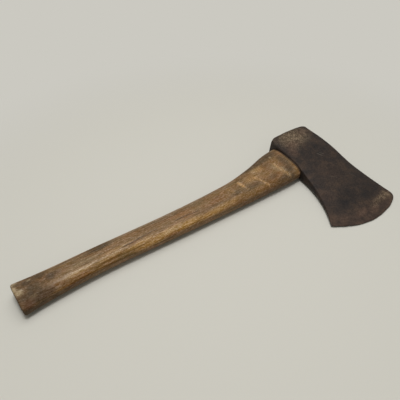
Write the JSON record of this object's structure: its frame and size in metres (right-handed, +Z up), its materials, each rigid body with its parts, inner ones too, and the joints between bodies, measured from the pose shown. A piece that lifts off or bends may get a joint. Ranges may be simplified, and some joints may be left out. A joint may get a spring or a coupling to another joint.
{
  "type": "hatchet",
  "caption": "Old single-bit hatchet with a flared, rusted forged head on a short worn wooden handle, wedged in the eye; for chopping and splitting by hand.",
  "frame": {"origin": "on the surface that the hatchet lies on, below the middle of its plan", "axes": "+X along the handle towards the head, +Y across towards the poll (the bit is towards -Y), +Z up"},
  "size_m": [0.4968, 0.1936, 0.0341],
  "materials": {
    "rusted_forged_steel": "dark rusted forging, dull",
    "aged_hickory": "hand-worn, oiled, stained",
    "wedge_wood": "end grain, weathered",
    "wedge_steel": "struck flush, lightly rusted"
  },
  "bodies": {
    "root": {"head": "rusted_forged_steel", "handle": "aged_hickory", "wooden_wedge": "wedge_wood", "steel_wedge_front": "wedge_steel", "steel_wedge_rear": "wedge_steel"}
  },
  "joints": []
}
